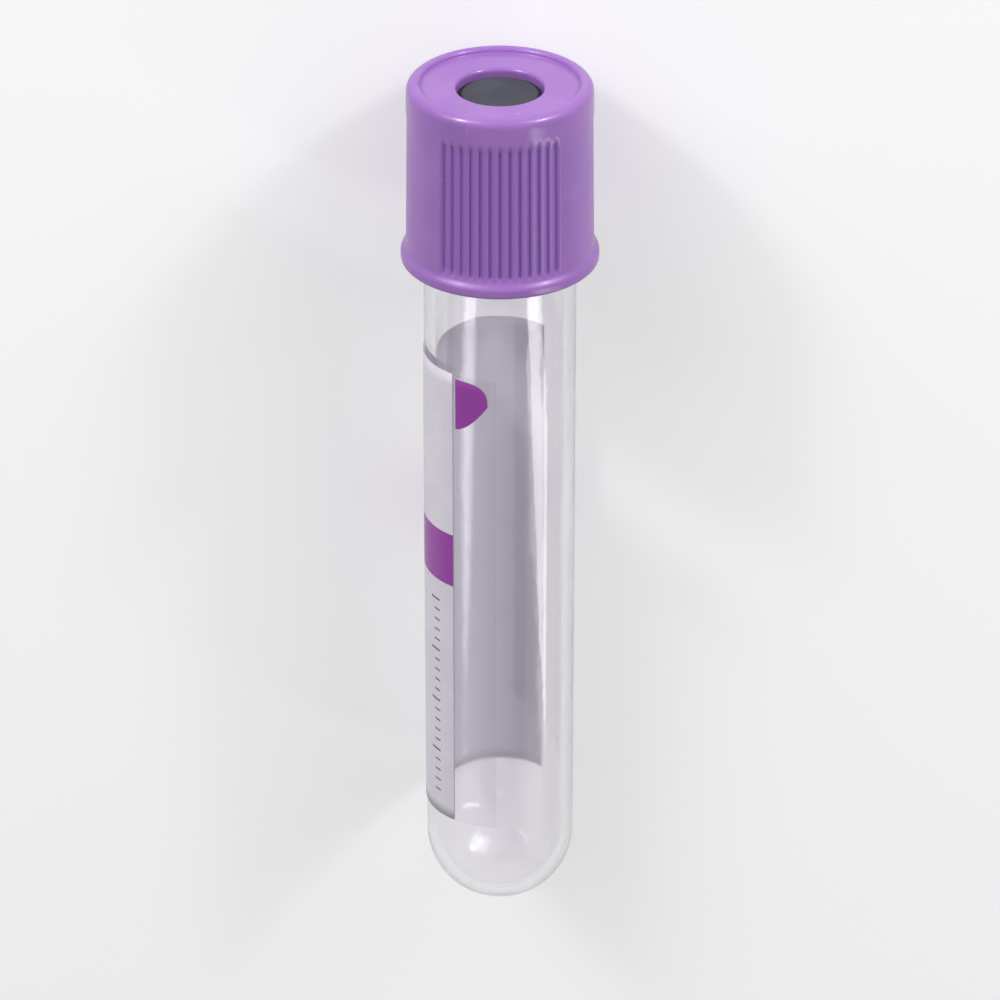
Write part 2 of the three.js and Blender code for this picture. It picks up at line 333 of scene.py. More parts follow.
def measure(piece, packed):
    shape = bmesh.new()
    shape.from_mesh(piece.data)
    volume = shape.calc_volume(signed=True) / MM**3
    open_edges = sum(not edge.is_manifold for edge in shape.edges)
    triangles = sum(len(face.verts) - 2 for face in shape.faces)
    places = [vertex.co for vertex in shape.verts]
    sides = [(max(p[i] for p in places) - min(p[i] for p in places)) / MM for i in range(3)]
    packed_sides = [side / MM for side in packed[1] - packed[0]]
    print(piece.name, "-", triangles, "triangles,", round(volume, 1), "mm3,", open_edges, "open edges")
    print("   size", [round(s, 2) for s in sides], "packed", [round(s, 2) for s in packed_sides])
    shape.free()


def lay_piece(source, name, stands_for, body):
    """Turns a worked-out object into a plain piece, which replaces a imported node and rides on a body."""
    evaluated = source.evaluated_get(bpy.context.evaluated_depsgraph_get())
    mesh = bpy.data.meshes.new_from_object(evaluated)
    mesh.name = name
    mesh.transform(lay_down)
    leftover = source.data
    bpy.data.objects.remove(source)
    bpy.data.meshes.remove(leftover)
    piece = bpy.data.objects.new(name, mesh)
    bpy.context.collection.objects.link(piece)
    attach(piece, body)
    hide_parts(stands_for)
    measure(piece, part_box(stands_for))


# %% [markdown]
# ## Marks that several finishes share
#
# No real surface is one even colour with one even gloss. Three small groups make the usual marks, each
# with its sizes in millimetres, and every finish below places them with its own values:
#
# - `fine grain` gives a close grain and a slow drift of tone,
# - `hairlines` gives the faint scratches of handling,
# - `specks` gives scattered dots, for dust or for dried droplets.

# %% Shared marks
SHADER = "ShaderNodeTree"
HAIR_STRETCH = 0.06  # the smaller, the longer each hairline
HAIR_SLANT = (0.5, 0.3, 0.6)  # radians
HAIR_THICKNESS = 0.006  # as a share of the noise's height


def build_fine_grain():
    inputs = [("Place", VECTOR), ("Grain size", FLOAT, 0.2), ("Drift size", FLOAT, 6.0)]
    tree, given, out = new_group(SHADER, "fine grain", inputs, [("Grain", FLOAT), ("Drift", FLOAT)])
    for name, detail, size in (("Grain", 3.0, "Grain size"), ("Drift", 2.0, "Drift size")):
        scale = maths(tree, "DIVIDE", 1.0, given[size])
        noise = {"Vector": given["Place"], "Scale": scale, "Detail": detail}
        tree.links.new(node(tree, "ShaderNodeTexNoise", noise).outputs[0], out.inputs[name])
    return tree


def build_hairlines():
    inputs = [("Place", VECTOR), ("Spacing", FLOAT, 2.0), ("Amount", FLOAT, 0.5)]
    tree, given, out = new_group(SHADER, "hairlines", inputs, [("Scratch", FLOAT)])
    scale = maths(tree, "DIVIDE", 1.0, given["Spacing"])
    # A noise stretched along one slanting direction, cut to the thin line where it passes its middle.
    slanted = {"Vector": given["Place"], "Scale": (1.0, HAIR_STRETCH, 1.0), "Rotation": HAIR_SLANT}
    stretch = node(tree, "ShaderNodeMapping", slanted)
    lines = node(tree, "ShaderNodeTexNoise", {"Vector": stretch.outputs[0], "Scale": scale, "Detail": 1.0})
    from_middle = maths(tree, "ABSOLUTE", maths(tree, "SUBTRACT", lines.outputs[0], 0.5))
    thin = ramp(tree, from_middle, 0.0, HAIR_THICKNESS, 1.0, 0.0)
    patches = node(tree, "ShaderNodeTexNoise", {"Vector": given["Place"], "Scale": scale, "Detail": 1.0})
    threshold = maths(tree, "SUBTRACT", 0.8, maths(tree, "MULTIPLY", given["Amount"], 0.5))
    patch = ramp(tree, patches.outputs[0], threshold, maths(tree, "ADD", threshold, 0.12))
    tree.links.new(product(tree, thin, patch), out.inputs["Scratch"])
    return tree


def build_specks():
    inputs = [("Place", VECTOR), ("Spacing", FLOAT, 1.0), ("Size", FLOAT, 0.15), ("Share", FLOAT, 0.5)]
    tree, given, out = new_group(SHADER, "specks", inputs, [("Speck", FLOAT)])
    scale = maths(tree, "DIVIDE", 1.0, given["Spacing"])
    cells = node(tree, "ShaderNodeTexVoronoi", {"Vector": given["Place"], "Scale": scale})
    chance, size, _ = separate(tree, cells.outputs["Color"])
    reach = product(tree, given["Size"], maths(tree, "ADD", product(tree, size, 0.8), 0.2), scale)
    dot = ramp(tree, cells.outputs["Distance"], product(tree, reach, 0.6), reach, 1.0, 0.0)
    present = maths(tree, "LESS_THAN", chance, given["Share"])
    tree.links.new(product(tree, dot, present), out.inputs["Speck"])
    return tree


fine_grain, hairlines, specks = build_fine_grain(), build_hairlines(), build_specks()
print("shared marks:", fine_grain.name, "-", hairlines.name, "-", specks.name)


# %% Helpers for finishes
def new_finish(name, sockets):
    """A material with its Principled shader. `sockets` are the values that are even all over it."""
    material = bpy.data.materials.new(name)
    material.use_nodes = True
    tree = material.node_tree
    shader = tree.nodes["Principled BSDF"]
    for socket, value in sockets.items():
        shader.inputs[socket].default_value = value
    return material, tree, shader


def attribute(tree, name):
    return node(tree, "ShaderNodeAttribute", attribute_name=name).outputs["Vector"]


def place_group(tree, group, inputs):
    """Places a node group. Its sockets appear once its tree is set, so the tree comes first."""
    placed = tree.nodes.new("ShaderNodeGroup")
    placed.node_tree = group
    for key, value in inputs.items():
        if isinstance(value, bpy.types.NodeSocket):
            tree.links.new(value, placed.inputs[key])
        else:
            placed.inputs[key].default_value = value
    return placed.outputs


def mix_colour(tree, share, first, second):
    """One colour laid over another by a mask. Each colour is three numbers or a node's output."""
    mix = tree.nodes.new("ShaderNodeMix")
    mix.data_type = "RGBA"
    for key, value in ((0, share), (6, first), (7, second)):
        if isinstance(value, bpy.types.NodeSocket):
            tree.links.new(value, mix.inputs[key])
        else:
            mix.inputs[key].default_value = value if key == 0 else (*value, 1)
    return mix.outputs[2]


def add_share(tree, value, mask, amount):
    """The value, with `amount` more of it where the mask is 1."""
    return maths(tree, "ADD", value, maths(tree, "MULTIPLY", mask, amount))


def add_bump(tree, shader, height, depth_mm):
    bump = {"Height": height, "Distance": depth_mm * MM, "Strength": 1.0}
    tree.links.new(node(tree, "ShaderNodeBump", bump).outputs[0], shader.inputs["Normal"])


# %% [markdown]
# ## The tube
#
# The real tube is moulded from clear polyester with a wall of about 1 mm, which widens a little
# towards its mouth. It has a true inside surface here, because clear plastic only looks right if light
# passes through all of its faces: the bright and dark lines along both edges are the wall itself.
#
# The finish is a Principled shader set to full transmission, with polyester's index of refraction.
# Three things take it away from perfect glass. The wall is slightly wavy, its faces have faint
# handling marks, and the inside carries the fine dried droplets of the additive that such tubes are
# sprayed with. A Light Path node lets shadow rays and diffuse rays straight through. Otherwise a clear
# tube would throw the shadow of a solid one, with blotches of focused light around it. It also lets out
# some of the rays that are caught between the two faces of the wall. All of them would be given up as
# black, and the open mouth would wear a black ring. The rest keep the wall's outline dark.

# %% Clear polyester
POLYESTER_IOR = 1.57
CLEAR_TINT = (0.93, 0.918, 0.942)
THROUGH_TINT = tuple(math.sqrt(share) for share in CLEAR_TINT)  # the shader's tint at each surface
MOST_REFLECTIONS = 2  # inside the wall, before a ray counts as caught
LET_OUT = 0.3  # share of the caught rays that are let out at each further reflection
INSIDE_RADIUS = 5.6  # the wall's inside face lies nearer the axis than this, and its outside face further
SPRAYED_UP_TO = (44.0, 54.0)  # where the sprayed additive thins out, up the tube

clear_polyester, tree, shader = new_finish(
    "clear polyester",
    {"Base Color": (*CLEAR_TINT, 1), "Transmission Weight": 1.0, "IOR": POLYESTER_IOR},
)
own = attribute(tree, "own_mm")
waves = place_group(tree, fine_grain, {"Place": own, "Grain size": 9.0, "Drift size": 14.0})
scratch = place_group(tree, hairlines, {"Place": own, "Spacing": 1.6, "Amount": 0.5})["Scratch"]
droplets = place_group(tree, specks, {"Place": own, "Spacing": 0.5, "Size": 0.08, "Share": 0.4})["Speck"]

x, height, z = separate(tree, own)
radius = maths(tree, "SQRT", maths(tree, "ADD", product(tree, x, x), product(tree, z, z)))
inside = ramp(tree, radius, INSIDE_RADIUS - 0.05, INSIDE_RADIUS + 0.05, 1.0, 0.0)
sprayed = product(tree, inside, ramp(tree, height, *SPRAYED_UP_TO, 1.0, 0.0))
droplets = product(tree, droplets, sprayed)
haze = blend_values(tree, waves["Drift"], 0.015, 0.06)
for mask, more in ((sprayed, 0.05), (droplets, 0.2), (scratch, 0.2)):
    haze = add_share(tree, haze, mask, more)
tree.links.new(haze, shader.inputs["Roughness"])
add_bump(tree, shader, waves["Grain"], 0.05)

path = node(tree, "ShaderNodeLightPath").outputs
trapped = maths(tree, "GREATER_THAN", path["Glossy Depth"], MOST_REFLECTIONS)
passed = maths(tree, "MAXIMUM", path["Is Shadow Ray"], path["Is Diffuse Ray"])
passed = maths(tree, "MAXIMUM", passed, product(tree, trapped, LET_OUT))
see_through = node(tree, "ShaderNodeBsdfTransparent", {"Color": (*THROUGH_TINT, 1)})
mixed = node(tree, "ShaderNodeMixShader", {0: passed, 1: shader.outputs[0], 2: see_through.outputs[0]})
tree.links.new(mixed.outputs[0], tree.nodes["Material Output"].inputs["Surface"])
print("clear polyester:", len(tree.nodes), "nodes")

# %% Tube
WALL = 1.0
FLOOR_WALL = 1.15  # the wall at the tip of the round bottom
LIP_ROUND = 0.35
GATE_RADIUS = 1.6  # where the low swelling left by the moulding gate has run out into the round bottom
GATE_ROWS = 10

bore_radius = TUBE_RADIUS - WALL
inner_dome = DOME_RADIUS - WALL
gate_mark = []
for i in range(GATE_ROWS):
    radius = GATE_RADIUS * i / GATE_ROWS
    dome = dome_height - math.sqrt(DOME_RADIUS**2 - radius**2)
    gate_mark.append((radius, dome - GATE_HEIGHT * swell(i / GATE_ROWS)))
gate_angle = math.degrees(math.asin(GATE_RADIUS / DOME_RADIUS))
tube_profile = supported([
    *gate_mark,
    *arc(0, dome_height, DOME_RADIUS, gate_angle - 90, 0, 28),
    *arc(TUBE_RADIUS - LIP_ROUND, TUBE_LENGTH - LIP_ROUND, LIP_ROUND, 0, 90, 7),
    *arc(bore_radius + LIP_ROUND, TUBE_LENGTH - LIP_ROUND, LIP_ROUND, 90, 180, 7),
    *arc(0, inner_dome + FLOOR_WALL, inner_dome, 0, -90, 28),
])
tube_source = profile_object("tube profile", tube_profile)
add_tree(tube_source, turned_tree, {"Sides": ROUND_SIDES, "Finish": clear_polyester})
lay_piece(tube_source, "tube_wall", "tube", "tube")

# %% [markdown]
# ## The stopper
#
# The stopper is moulded rubber: a flange that sits on the mouth of the tube, and a hollow plug with
# two sealing bands inside it. A low pad on its top stands in the hole of the cap, where the needle goes
# in and where the rubber can be wiped clean. The rest shows when the closure is pulled off.
#
# Rubber is dull, but not evenly so. A pale bloom comes to its surface in clouds, and dust stays on it.

# %% Grey rubber
RUBBER = (0.050, 0.054, 0.070)
RUBBER_BLOOM = (0.066, 0.070, 0.088)
DUST = (0.50, 0.49, 0.52)

grey_rubber, tree, shader = new_finish("grey rubber", {"Specular IOR Level": 0.3})
own = attribute(tree, "own_mm")
grain = place_group(tree, fine_grain, {"Place": own, "Grain size": 0.12, "Drift size": 2.2})
dust = place_group(tree, specks, {"Place": own, "Spacing": 0.7, "Size": 0.07, "Share": 0.3})["Speck"]
bloomed = mix_colour(tree, ramp(tree, grain["Drift"], 0.4, 0.7), RUBBER, RUBBER_BLOOM)
dusty = mix_colour(tree, maths(tree, "MULTIPLY", dust, 0.3), bloomed, DUST)
tree.links.new(dusty, shader.inputs["Base Color"])
tree.links.new(blend_values(tree, grain["Grain"], 0.5, 0.75), shader.inputs["Roughness"])
add_bump(tree, shader, grain["Grain"], 0.012)
print("grey rubber:", len(tree.nodes), "nodes")

# %% Stopper
STOPPER_SEAT = TUBE_LENGTH + 0.05
STOPPER_FLANGE_RADIUS = 6.85
STOPPER_FLANGE_THICKNESS = 2.15
STOPPER_FLANGE_ROUND = 0.3
PLUG_LENGTH = 9.3
PLUG_TIP_RADIUS = 4.95
PLUG_TIP_ROUND = 0.6
SEAL_RADIUS = bore_radius - 0.075
SEAL_HEIGHT = 1.6  # each of the two bands
LOWER_SEAL = 3.35  # from the plug's tip up to the lower band
SEAL_RELIEF = 0.12  # how far the waist between the bands is set back
HOLLOW_RADIUS = 3.2
HOLLOW_DEPTH = 6.0
PAD_RADIUS = 3.4  # at its foot
PAD_HEIGHT = 0.35
PAD_SLOPE = 0.25
PAD_ROUND = 0.1

stopper_top = STOPPER_SEAT + STOPPER_FLANGE_THICKNESS
plug_tip = STOPPER_SEAT - PLUG_LENGTH
lower_seal = plug_tip + LOWER_SEAL
upper_seal = STOPPER_SEAT - SEAL_HEIGHT
flange_edge = STOPPER_FLANGE_RADIUS - STOPPER_FLANGE_ROUND
waist = SEAL_RADIUS - SEAL_RELIEF
stopper_profile = supported([
    *arc(0, plug_tip + HOLLOW_DEPTH - HOLLOW_RADIUS, HOLLOW_RADIUS, 90, 0, 16),
    *arc(HOLLOW_RADIUS + 0.25, plug_tip + 0.25, 0.25, 180, 270, 4),
    *arc(PLUG_TIP_RADIUS - PLUG_TIP_ROUND, plug_tip + PLUG_TIP_ROUND, PLUG_TIP_ROUND, -90, -10, 6),
    (SEAL_RADIUS - 0.03, lower_seal - 0.15),
    (SEAL_RADIUS, lower_seal + 0.1),
    (SEAL_RADIUS, lower_seal + SEAL_HEIGHT),
    (waist, lower_seal + SEAL_HEIGHT + SEAL_RELIEF * 2),
    (waist, upper_seal - SEAL_RELIEF * 2),
    (SEAL_RADIUS, upper_seal),
    (SEAL_RADIUS, STOPPER_SEAT - 0.1),
    (SEAL_RADIUS + 0.1, STOPPER_SEAT),
    *arc(flange_edge, STOPPER_SEAT + STOPPER_FLANGE_ROUND, STOPPER_FLANGE_ROUND, -90, 0, 6),
    *arc(flange_edge, stopper_top - STOPPER_FLANGE_ROUND, STOPPER_FLANGE_ROUND, 0, 90, 6),
    *arc(PAD_RADIUS + 0.05, stopper_top + 0.08, 0.08, -90, -145, 4),
    *arc(PAD_RADIUS - PAD_SLOPE - 0.02, stopper_top + PAD_HEIGHT - PAD_ROUND, PAD_ROUND, 35, 90, 4),
    (0, stopper_top + PAD_HEIGHT),
])
stopper_source = profile_object("stopper profile", stopper_profile)
add_tree(stopper_source, turned_tree, {"Sides": ROUND_SIDES, "Finish": grey_rubber})
lay_piece(stopper_source, "stopper_plug", "stopper", "closure")

# %% [markdown]
# ## The cap
#
# The cap is a thin moulded shield over the stopper. Its top has a raised round rim and a hole for the
# needle. Its side widens slightly downwards and runs over a soft shoulder into a small flange. Its
# skirt is open underneath, and a snap bead inside it holds the stopper's flange.
#
# The turned blank is made with a side for each half degree. That is far more than its outline needs,
# but the next tree presses the grip into it, and the grooves need the points.

# %% Cap profile
CAP_HEIGHT = 16.2
CAP_TOP_RADIUS = 7.87
CAP_BASE_RADIUS = 8.03
CAP_EDGE_ROUND = 0.8
CAP_FLANGE_RADIUS = 8.4
CAP_FLANGE_HEIGHT = 1.45  # to where its shoulder has run into the side
CAP_FLANGE_EDGE = 0.7  # to where its shoulder starts
CAP_FLANGE_ROUND = 0.25
CAP_BORE_RADIUS = 6.8
CAP_BORE_LEAD = 0.3
CAP_CHAMBER_RADIUS = 7.0
CAP_BEAD_RADIUS = 6.66
CAP_BEAD_HEIGHT = 0.35
CAP_WEB = 0.9
CAP_RIM_HEIGHT = 0.45
CAP_RIM_INSIDE = 6.72
CAP_RIM_ROUND = 0.3
NEEDLE_HOLE_RADIUS = 3.65
NEEDLE_HOLE_ROUND = 0.35
FILLET = 0.12
CAP_SIDES = 720
SIDE_ROWS = 40  # rows of points up the side, so that the ends of the grooves can be round
SHOULDER_ROWS = 10

web_underside = stopper_top + 0.05
cap_face = web_underside + CAP_WEB
cap_top = cap_face + CAP_RIM_HEIGHT
cap_bottom = cap_top - CAP_HEIGHT
flange_top = cap_bottom + CAP_FLANGE_HEIGHT
shoulder_start = cap_bottom + CAP_FLANGE_EDGE
side_top = cap_top - CAP_EDGE_ROUND
bead_top = STOPPER_SEAT - CAP_BEAD_HEIGHT
bead_bottom = bead_top - CAP_BEAD_HEIGHT
bead_step = CAP_CHAMBER_RADIUS - CAP_BEAD_RADIUS
cap_flange_edge = CAP_FLANGE_RADIUS - CAP_FLANGE_ROUND

shoulder = [
    (CAP_BASE_RADIUS + (CAP_FLANGE_RADIUS - CAP_BASE_RADIUS) * swell(i / SHOULDER_ROWS),
     shoulder_start + (flange_top - shoulder_start) * i / SHOULDER_ROWS)
    for i in range(SHOULDER_ROWS + 1)
]
side = [
    (CAP_BASE_RADIUS + (CAP_TOP_RADIUS - CAP_BASE_RADIUS) * i / SIDE_ROWS,
     flange_top + (side_top - flange_top) * i / SIDE_ROWS)
    for i in range(1, SIDE_ROWS)
]
cap_profile = supported([
    (CAP_BORE_RADIUS + CAP_BORE_LEAD, cap_bottom),
    *arc(cap_flange_edge, cap_bottom + CAP_FLANGE_ROUND, CAP_FLANGE_ROUND, -90, 0, 5),
    *shoulder,
    *side,
    *arc(CAP_TOP_RADIUS - CAP_EDGE_ROUND, side_top, CAP_EDGE_ROUND, 0, 90, 12),
    *arc(CAP_RIM_INSIDE + CAP_RIM_ROUND, cap_top - CAP_RIM_ROUND, CAP_RIM_ROUND, 90, 180, 5),
    *arc(CAP_RIM_INSIDE - FILLET, cap_face + FILLET, FILLET, 0, -90, 4),
    *arc(NEEDLE_HOLE_RADIUS + NEEDLE_HOLE_ROUND, cap_face - NEEDLE_HOLE_ROUND, NEEDLE_HOLE_ROUND, 90, 180, 6),
    (NEEDLE_HOLE_RADIUS, web_underside),
    (CAP_CHAMBER_RADIUS, web_underside),
    (CAP_CHAMBER_RADIUS, bead_top + bead_step),
    (CAP_BEAD_RADIUS, bead_top),
    (CAP_BEAD_RADIUS, bead_bottom),
    (CAP_BORE_RADIUS, bead_bottom - bead_step),
    (CAP_BORE_RADIUS, cap_bottom + CAP_BORE_LEAD),
    (CAP_BORE_RADIUS + CAP_BORE_LEAD, cap_bottom),
])
print("cap profile:", len(cap_profile), "points")

# %% [markdown]
# ## The grip
#
# Three panels of fine upright grooves help gloved fingers to turn the cap. They could be cut with
# Booleans, but 39 cuts in a thin curved wall leave ragged faces that shade badly. Here a second tree
# presses the grooves in: it moves each outside point towards the axis by a depth that follows a wave
# round the panel. The depth fades out towards the top, where a real cutter lifts out of the steel,
# and stops short at the flange.

# %% Grip panels
GRIP_PANELS = 3
GROOVES_PER_PANEL = 13
GROOVE_PITCH = 6.0  # degrees
GROOVE_DEPTH = 0.24
PANEL_SINK = 0.08  # the ribs stay this far below the smooth panels
GRIP_BELOW_TOP = 2.3
GRIP_RUN_OUT = 0.9
GRIP_INSIDE = 7.4  # points nearer the axis than this are the cap's inside, and stay where they are
PANEL_EDGE = (-0.2, 0.9)  # degrees in from a panel's edge, over which the grip sets in
GROOVE_WALL = (-0.3, 0.85)  # heights of the wave at a groove's lip and at its floor
LOW_RISE = 0.25  # from the flange to where a groove has its full depth


def build_grip_tree():
    inputs = [
        ("Blank", GEOMETRY), ("Panels", INTEGER, GRIP_PANELS), ("Grooves", INTEGER, GROOVES_PER_PANEL),
        ("Pitch", FLOAT, GROOVE_PITCH), ("Depth", FLOAT), ("Sink", FLOAT), ("Low end", FLOAT),
        ("High end", FLOAT), ("Run out", FLOAT), ("Outside", FLOAT), ("Finish", MATERIAL),
    ]
    tree, given, out = new_group("GeometryNodeTree", "grip panels", inputs, [("Cap", GEOMETRY)])
    x, y, z = separate(tree, node(tree, "GeometryNodeInputPosition").outputs[0])
    radius = maths(tree, "SQRT", maths(tree, "ADD", product(tree, x, x), product(tree, z, z)))
    angle = maths(tree, "DEGREES", maths(tree, "ARCTAN2", x, z))

    # Round the cap: the angle from the middle of the nearest panel, then the wave of the grooves.
    half_share = maths(tree, "DIVIDE", 180, given["Panels"])
    local = maths(tree, "WRAP", angle, half_share, maths(tree, "MULTIPLY", half_share, -1))
    half_panel = product(tree, given["Grooves"], given["Pitch"], 0.5)
    to_edge = maths(tree, "SUBTRACT", half_panel, maths(tree, "ABSOLUTE", local))
    in_panel = ramp(tree, to_edge, *PANEL_EDGE)
    wave = maths(tree, "COSINE", product(tree, maths(tree, "DIVIDE", local, given["Pitch"]), math.tau))
    groove = ramp(tree, wave, *GROOVE_WALL)

    # Up the cap: off at the flange, at full depth up the side, and fading out towards the top.
    low_end = ramp(tree, y, given["Low end"], maths(tree, "ADD", given["Low end"], LOW_RISE * MM))
    fade_start = maths(tree, "SUBTRACT", given["High end"], given["Run out"])
    high_end = ramp(tree, y, fade_start, given["High end"], 1.0, 0.0)
    outside = ramp(tree, radius, maths(tree, "SUBTRACT", given["Outside"], 0.05 * MM), given["Outside"])

    # How much of the grip there is at a point. The finish needs this too, for the duller gloss and the
    # painted shade of the panels, so it is kept.
    grip = product(tree, in_panel, low_end, high_end, outside)
    marked = store(tree, given["Blank"], "grip", combine(tree, grip, grip, grip))

    sunk = maths(tree, "ADD", given["Sink"], product(tree, groove, given["Depth"]))
    inward = product(tree, grip, sunk, -1)
    away = node(tree, "ShaderNodeVectorMath", {0: combine(tree, x, 0, z)}, operation="NORMALIZE").outputs[0]
    step = node(tree, "ShaderNodeVectorMath", {0: away, "Scale": inward}, operation="SCALE").outputs[0]
    pressed = node(tree, "GeometryNodeSetPosition", {"Geometry": marked, "Offset": step})
    close_tree(tree, out, pressed.outputs[0], given["Finish"])
    return tree


grip_tree = build_grip_tree()
print("grip panels:", len(grip_tree.nodes), "nodes")

# %% [markdown]
# ## The place that the cap lies on
#
# A perfectly round tube would roll on for ever. Real plastic gives a little where it lies, so the packed
# cap has a flat there, 0.1 mm deep. A third tree lifts every point that would be under the table up to
# its top. It is told which way is up, and how high the table is, in the tube's own coordinates.

# %% Rest flat
def build_rest_flat_tree():
    inputs = [("Cap", GEOMETRY), ("Up", VECTOR), ("Table", FLOAT), ("Finish", MATERIAL)]
    tree, given, out = new_group("GeometryNodeTree", "rest flat", inputs, [("Rested", GEOMETRY)])
    place = node(tree, "GeometryNodeInputPosition").outputs[0]
    height = node(tree, "ShaderNodeVectorMath", {0: place, 1: given["Up"]}, operation="DOT_PRODUCT")
    missing = maths(tree, "SUBTRACT", given["Table"], height.outputs["Value"])
    lift = {0: given["Up"], "Scale": maths(tree, "MAXIMUM", missing, 0.0)}
    step = node(tree, "ShaderNodeVectorMath", lift, operation="SCALE").outputs[0]
    rested = node(tree, "GeometryNodeSetPosition", {"Geometry": given["Cap"], "Offset": step})
    close_tree(tree, out, rested.outputs[0], given["Finish"])
    return tree


rest_flat_tree = build_rest_flat_tree()
table_up = lay_down.to_3x3().inverted() @ Vector((0, 0, 1))
table_height = -(lay_down @ Vector()).z
print("rest flat: the table is", round(-table_height / MM, 2), "mm below the tip's middle")

# %% [markdown]
# ## The cap's finish
#
# The cap is polypropylene, dyed lavender all through. It is half glossy, with the fine grain of the
# mould in the gloss rather than in the colour. Light goes a little way into it, which softens the rim
# and the ribs: that is the small subsurface share. Its colour drifts very slightly from place to
# place, as dye does in a moulding, and a few hairlines come from lying loose among other tubes.
# The steel between the grooves of the mould can't be polished, so the grip panels come out duller than the
# smooth side.
# Their colour is also painted a shade deeper there. That is painted shade, for the darker look of the grooved
# panels.
# The mask for both is the one that the grip tree left behind.

# %% Lavender plastic
LAVENDER = (0.395, 0.184, 0.58)
LAVENDER_DEEP = (0.365, 0.163, 0.55)
# the grip panels' colour: painted shade, a little deeper than the smooth side, for the darker look of the
# grooved panels
LAVENDER_GRIP_PAINTED_SHADE = (0.35, 0.16, 0.56)
LAVENDER_SCUFF = (0.62, 0.5, 0.72)

lavender_plastic, tree, shader = new_finish("lavender plastic", {
    "Subsurface Weight": 0.15, "Subsurface Radius": (1.0, 0.7, 1.3), "Subsurface Scale": 0.8 * MM,
    "IOR": 1.51,
})
own = attribute(tree, "own_mm")
grain = place_group(tree, fine_grain, {"Place": own, "Grain size": 0.15, "Drift size": 5.0})
scratch = place_group(tree, hairlines, {"Place": own, "Spacing": 1.2, "Amount": 0.45})["Scratch"]
dust = place_group(tree, specks, {"Place": own, "Spacing": 1.5, "Size": 0.06, "Share": 0.25})["Speck"]
dye_and_grip_shade = mix_colour(tree, ramp(tree, grain["Drift"], 0.35, 0.65), LAVENDER, LAVENDER_DEEP)
grip = separate(tree, attribute(tree, "grip"))[0]
# Painted shade: where the grip mask is, the colour is laid a shade deeper
dye_and_grip_shade = mix_colour(tree, grip, dye_and_grip_shade, LAVENDER_GRIP_PAINTED_SHADE)
scuffed = mix_colour(tree, maths(tree, "MULTIPLY", scratch, 0.12), dye_and_grip_shade, LAVENDER_SCUFF)
dusty = mix_colour(tree, maths(tree, "MULTIPLY", dust, 0.35), scuffed, DUST)
tree.links.new(dusty, shader.inputs["Base Color"])
gloss = blend_values(tree, grain["Grain"], 0.15, 0.23)
for mask, more in ((grip, 0.12), (scratch, 0.15)):
    gloss = add_share(tree, gloss, mask, more)
tree.links.new(gloss, shader.inputs["Roughness"])
add_bump(tree, shader, maths(tree, "SUBTRACT", grain["Grain"], product(tree, scratch, 0.6)), 0.0015)
print("lavender plastic:", len(tree.nodes), "nodes")

# %% Cap
cap_source = profile_object("cap profile", cap_profile)
add_tree(cap_source, turned_tree, {"Sides": CAP_SIDES, "Finish": lavender_plastic})
add_tree(cap_source, grip_tree, {
    "Panels": GRIP_PANELS, "Grooves": GROOVES_PER_PANEL, "Pitch": GROOVE_PITCH, "Depth": GROOVE_DEPTH * MM,
    "Sink": PANEL_SINK * MM, "Low end": flange_top * MM, "High end": (cap_top - GRIP_BELOW_TOP) * MM,
    "Run out": GRIP_RUN_OUT * MM, "Outside": GRIP_INSIDE * MM, "Finish": lavender_plastic,
})
add_tree(cap_source, rest_flat_tree, {
    "Up": tuple(table_up), "Table": table_height, "Finish": lavender_plastic,
})
lay_piece(cap_source, "cap_shell", "cap", "closure")

# %% [markdown]
# ## The label
#
# The label is a thin clear film. Most of it is printed white, and its clear end carries only the mark
# that shows how far the tube should fill. One more tree wraps a flat grid on the drafted wall, and
# extrudes it so that the film has a thickness and a back of its own. The back matters: from the front
# we look through the empty tube straight at it.
#
# The tree also stores how far each point is across and down the film, in millimetres, so that the
# print can be laid out like a drawing.

# %% Wrapped film
LABEL_START = 135.0  # degrees round the tube
LABEL_SWEEP = 222.0
LABEL_BOTTOM = 10.0
LABEL_TOP = 53.8
LABEL_GAP = 0.02
LABEL_THICKNESS = 0.08
LABEL_RADIUS = 6.6  # used for lengths across the film
LABEL_POINTS = (181, 41)  # across and along the film


def wall_radius(height):
    """The tube's outside radius at a height above its tip."""
    return DOME_RADIUS + (TUBE_RADIUS - DOME_RADIUS) * (height - dome_height) / (TUBE_LENGTH - dome_height)


